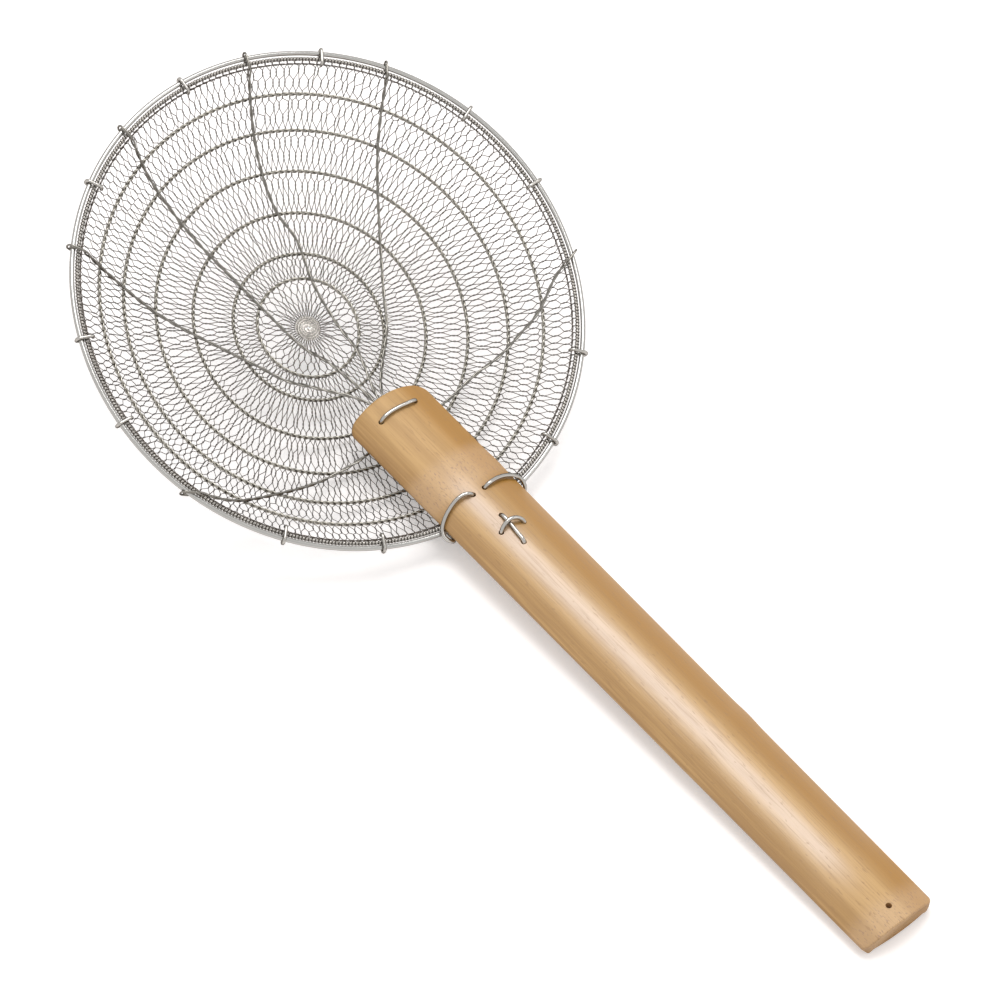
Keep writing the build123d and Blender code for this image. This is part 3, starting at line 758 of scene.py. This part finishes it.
# %% [markdown]
# ## Holes and the saddle
#
# Wires go through seven small holes, and one more near the end is for hanging up. Under the handle a saddle is
# cut for the hoops: an outline by reach from the bowl's axis and height, turned about that axis. A Boolean
# modifier takes these shapes out of the handle, as a drill and a file do.

# %% Cutting
HOLES = ((11.6, 10.4), (11.6, -10.4), (71.0, 3.5), (71.0, -3.5), (88.0, -0.5), (106.0, -2.0), (95.3, -6.6))
WIRE_HOLE = 2.7
HANG_HOLE = 3.0
HANG_PLACE = (354.4, 0.0)
DRILL_FROM, DRILL_TO, DRILL_SIDES = -14.0, 4.0, 24


def cut_out(piece, points, faces):
    """Takes a closed shape out of a piece with a Boolean modifier, and keeps the result as the piece's mesh."""
    cutter = put_piece("cutter", points, faces, bamboo, "bamboo")
    modifier = piece.modifiers.new("cut", "BOOLEAN")
    modifier.operation = "DIFFERENCE"
    modifier.solver = "EXACT"
    modifier.object = cutter
    bpy.context.view_layer.update()
    whole = piece.evaluated_get(bpy.context.evaluated_depsgraph_get())
    mesh = bpy.data.meshes.new_from_object(whole)
    piece.modifiers.clear()
    piece.data = mesh
    bpy.data.objects.remove(cutter)


def drill(place, diameter):
    """A round rod through the wall at a place along and across the handle."""
    rod = on_handle([[*place, above] for above in (DRILL_FROM, DRILL_TO)])[None]
    return wire_surface(rod, np.broadcast_to(np.array([0.0, 1.0, 0.0]), rod.shape), diameter / 2, DRILL_SIDES, False)


bamboo = bpy.data.materials.new("bamboo")
handle = put_piece("bamboo_handle", points.reshape(-1, 3), handle_faces, bamboo, "bamboo")
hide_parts("handle")
rods = [drill(place, WIRE_HOLE) for place in HOLES] + [drill(HANG_PLACE, HANG_HOLE)]
cut_out(handle, *join_surfaces(rods))
saddle_reach = np.array([109.87, 109.87, 121.9, 121.9, 127.15, 127.15])
saddle_height = np.array([-42.5, -11.29, -0.83, 1.3, 1.3, -42.5])
saddle_turn = np.radians(np.linspace(-20, 20, 41))[:, None]
saddle = np.stack([saddle_reach * np.cos(saddle_turn), saddle_reach * np.sin(saddle_turn),
                   saddle_height + 0 * saddle_turn], -1)
cut_out(handle, saddle.reshape(-1, 3), loop_faces(saddle))
handle.data.set_sharp_from_angle(angle=math.radians(40))
print("handle", len(handle.data.vertices), "points after cutting")

# %% [markdown]
# ## Wires through the handle
#
# A staple near the tip, two lashings at the rim and a small knot behind it hold basket and handle together. Each
# is stiff wire bent by hand, so it is drawn as a smooth line through a few places on the handle.

# %% Staple, lashings and knot
TIE_WIRE = 2.0
TIE_STEP = 0.5
TIE_SIDES = 16
UNDER = 10.9
tie_places = {
    "staple_bow": ("front_staple", [
        (11.8, 0.8, -UNDER), (11.8, 8.0, -UNDER), (11.8, 10.3, -8.4), (11.8, 10.4, -3.0), (12.0, 10.1, -0.4),
        (12.2, 8.6, 0.9), (11.9, 5.0, 1.4), (11.4, 0.0, 1.6), (11.2, -5.0, 1.4), (11.5, -8.6, 0.8),
        (11.6, -10.1, -0.6), (11.6, -10.4, -3.0), (11.6, -10.3, -8.4), (11.6, -8.0, -UNDER), (11.6, -0.8, -UNDER)]),
    "lashing_bow_left": ("lashing_left", [
        (71.0, -3.5, -9.0), (71.0, -3.5, -3.0), (70.8, -3.8, -0.2), (70.2, -5.2, 1.2), (69.1, -8.0, 1.4),
        (68.9, -12.2, 0.3), (69.9, -17.2, -2.3), (71.9, -21.7, -5.3), (74.0, -24.2, -7.9), (76.6, -25.0, -9.8),
        (78.9, -23.7, -11.4), (79.9, -21.6, -12.8), (78.2, -20.4, -14.2), (74.5, -20.2, -14.6), (70.0, -20.2, -13.8)]),
    "lashing_bow_right": ("lashing_right", [
        (71.0, 3.5, -9.0), (71.0, 3.5, -3.0), (71.1, 3.8, -0.2), (71.1, 5.4, 1.2), (70.7, 10.0, 1.0),
        (70.4, 15.3, -1.2), (70.9, 20.2, -4.0), (72.2, 23.8, -6.7), (74.4, 25.3, -8.8), (76.8, 25.0, -11.0),
        (77.4, 23.9, -13.0), (75.0, 22.7, -13.9), (70.0, 21.4, -13.4)]),
    "tie_bow": ("tie_wire", [
        (92.5, -0.5, -8.2), (89.5, -0.5, -8.2), (88.0, -0.5, -7.0), (88.0, -0.5, -2.0), (88.1, -0.5, -0.2),
        (89.2, -0.6, 0.95), (93.0, -0.8, 1.15), (97.0, -1.1, 1.15), (101.0, -1.5, 1.15), (104.9, -1.8, 0.9),
        (106.2, -1.95, -0.3), (106.2, -2.0, -2.0), (106.0, -2.0, -7.0), (104.5, -2.0, -8.2), (101.5, -2.0, -8.2)]),
    "binder_loop": ("tie_binder", [
        (95.3, -6.6, -9.0), (95.3, -6.6, -3.0), (95.2, -6.5, -0.8), (94.7, -5.7, 0.9), (94.1, -3.8, 2.3),
        (93.8, -1.0, 3.2), (94.2, 1.6, 3.1), (95.2, 3.9, 2.2), (96.6, 5.3, 0.9), (97.6, 5.8, -0.6)]),
}
OFF_THE_WIRES = unit(np.array([0.35, 0.2, 0.9]))  # a direction that none of these wires runs along
for name, (node, places) in tie_places.items():
    line, steps = smooth_through(places, TIE_STEP)
    line = on_handle(line)[None]
    across = np.cross(directions(line, False), OFF_THE_WIRES)
    points, faces = wire_surface(line, across, TIE_WIRE / 2, TIE_SIDES, False)
    tie = put_piece(name, points, faces, tie_steel, "tie_wire")
    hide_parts(node)

# %% [markdown]
# ## Bamboo
#
# Polished bamboo shows fine fibres that run the whole length, and cut pores that look like small dashes where a node
# or the end was sanded. Noise drawn out along the handle gives the fibres, and short noise kept to the sanded places
# gives the pores. The colour is darker along both edges, which is painted shade. The waxed skin is satin, so a soft
# lamp draws a pale band down its crown; the colour also paints a paler band there, partly a painted highlight and
# partly skin that hands have rubbed paler. Towards both ends the skin is matt, and the painted band fades there.

# %% Bamboo material
BAMBOO_PALE = (0.57, 0.335, 0.115, 1.0)
BAMBOO_DARK = (0.44, 0.24, 0.065, 1.0)
# painted shade: a darker, richer tone for the handle's +Y side
BAMBOO_SIDE_SHADE = (0.385, 0.175, 0.014, 1.0)
# painted highlight, partly skin rubbed paler: the pale tone down the crown
BAMBOO_CROWN_SHEEN_AND_WEAR = (0.58, 0.43, 0.34, 1.0)
BAMBOO_FIBRE = (0.33, 0.17, 0.05, 1.0)
# painted shade: a dark tone for the handle's -Y edge
BAMBOO_EDGE_SHADE = (0.31, 0.15, 0.035, 1.0)
BAMBOO_PORE = (0.34, 0.19, 0.11, 1.0)
BAMBOO_SANDED = (0.66, 0.44, 0.26, 1.0)
# where the painted highlight band lies across the handle, in mm from the crown line
CROWN_SHEEN_PLACE = -4.5
SANDED = ((57.1, 6.0, 15.0), (362.0, 5.0, 16.0))
MATT_TIP, MATT_BUTT = (78.0, 45.0), (312.0, 345.0)
MATT_ROUGHNESS = 0.28
SKIN_TURN = PITCH - lean


def along_grain(along):
    """Where a place along the handle's crown falls on the grain's own axis, in metres."""
    x, y, z = (lean_over(on_handle((along, 0.0, 0.0))) + rim_middle) * MM
    return float(x * math.cos(SKIN_TURN) + z * math.sin(SKIN_TURN))


bamboo.use_nodes = True
tree = bamboo.node_tree
shader = tree.nodes["Principled BSDF"]
place = add_node(tree, "ShaderNodeTexCoord").outputs["Object"]
turned = add_node(tree, "ShaderNodeMapping", inputs={"Vector": place, "Rotation": (0.0, SKIN_TURN, 0.0)}).outputs[0]
parts = add_node(tree, "ShaderNodeSeparateXYZ", inputs={"Vector": turned})
lengthwise, sideways = parts.outputs["X"], parts.outputs["Y"]
drawn = add_node(tree, "ShaderNodeMapping", inputs={"Vector": turned, "Scale": (0.03, 1.0, 1.0)}).outputs[0]
dashed = add_node(tree, "ShaderNodeMapping", inputs={"Vector": turned, "Scale": (0.3, 1.0, 1.0)}).outputs[0]


def noise(vector, scale, detail, roughness):
    """The strength of a noise at a scale, with so many finer layers."""
    return add_node(tree, "ShaderNodeTexNoise", inputs={
        "Vector": vector, "Scale": scale, "Detail": detail, "Roughness": roughness}).outputs["Fac"]


def between(value, low, high, to_low=0.0, to_high=1.0):
    """Carries a value smoothly from one span to another."""
    return add_node(tree, "ShaderNodeMapRange", interpolation_type="SMOOTHSTEP", inputs={
        "Value": value, "From Min": low, "From Max": high, "To Min": to_low, "To Max": to_high}).outputs["Result"]


def blend(share, low, high):
    """A colour between two, by a share."""
    return add_node(tree, "ShaderNodeMix", data_type="RGBA", inputs={0: share, 6: low, 7: high}).outputs[2]


def away_from(value, place):
    """How far a value is from a place, either way."""
    return calculate(tree, "ABSOLUTE", calculate(tree, "SUBTRACT", value, place))


bands = noise(drawn, 110.0, 3.0, 0.5)
fibres = noise(drawn, 1500.0, 4.0, 0.65)
colour = blend(between(bands, 0.35, 0.65), BAMBOO_DARK, BAMBOO_PALE)
# painted shade: the handle's +Y side is darkened in the colour
colour = blend(between(sideways, 0.003, 0.013, 0.0, 0.85), colour, BAMBOO_SIDE_SHADE)
matt = calculate(tree, "MAXIMUM", *(between(lengthwise, along_grain(none), along_grain(full))
                                    for none, full in (MATT_TIP, MATT_BUTT)))
# painted highlight, partly skin rubbed paler: a pale band near the crown line, fading where the skin is matt
near_crown_sheen = between(away_from(sideways, CROWN_SHEEN_PLACE * MM), 0.007, 0.001, 0.0, 0.45)
polished = calculate(tree, "SUBTRACT", 1.0, matt)
colour = blend(calculate(tree, "MULTIPLY", polished, near_crown_sheen), colour, BAMBOO_CROWN_SHEEN_AND_WEAR)
colour = blend(between(fibres, 0.46, 0.72, 0.0, 0.55), colour, BAMBOO_FIBRE)
# painted shade: the handle's -Y edge is darkened in streaks
near_edge_shade = between(sideways, -0.010, -0.0225)
edge_shade_streaks = between(noise(drawn, 600.0, 2.0, 0.5), 0.30, 0.62, 0.15, 0.75)
colour = blend(calculate(tree, "MULTIPLY", near_edge_shade, edge_shade_streaks), colour, BAMBOO_EDGE_SHADE)
sanded = calculate(tree, "MAXIMUM", *(between(away_from(lengthwise, along_grain(middle)), fade * MM, flat * MM)
                                      for middle, flat, fade in SANDED))
colour = blend(calculate(tree, "MULTIPLY", sanded, 0.35), colour, BAMBOO_SANDED)
pores = between(noise(dashed, 1600.0, 1.0, 0.5), 0.58, 0.70, 0.0, 0.75)
colour = blend(calculate(tree, "MULTIPLY", sanded, pores), colour, BAMBOO_PORE)
specks = between(noise(dashed, 900.0, 0.0, 0.5), 0.74, 0.80, 0.0, 0.5)
colour = blend(specks, colour, BAMBOO_FIBRE)
tree.links.new(colour, shader.inputs["Base Color"])
shader.inputs["Specular IOR Level"].default_value = 1.0
rough = add_node(tree, "ShaderNodeMapRange", inputs={"Value": fibres, "To Min": 0.25, "To Max": 0.42})
rough = calculate(tree, "MULTIPLY_ADD", matt, MATT_ROUGHNESS, rough.outputs["Result"])
tree.links.new(rough, shader.inputs["Roughness"])
bump = add_node(tree, "ShaderNodeBump", inputs={"Height": fibres, "Strength": 0.2, "Distance": 0.0003})
tree.links.new(bump.outputs["Normal"], shader.inputs["Normal"])
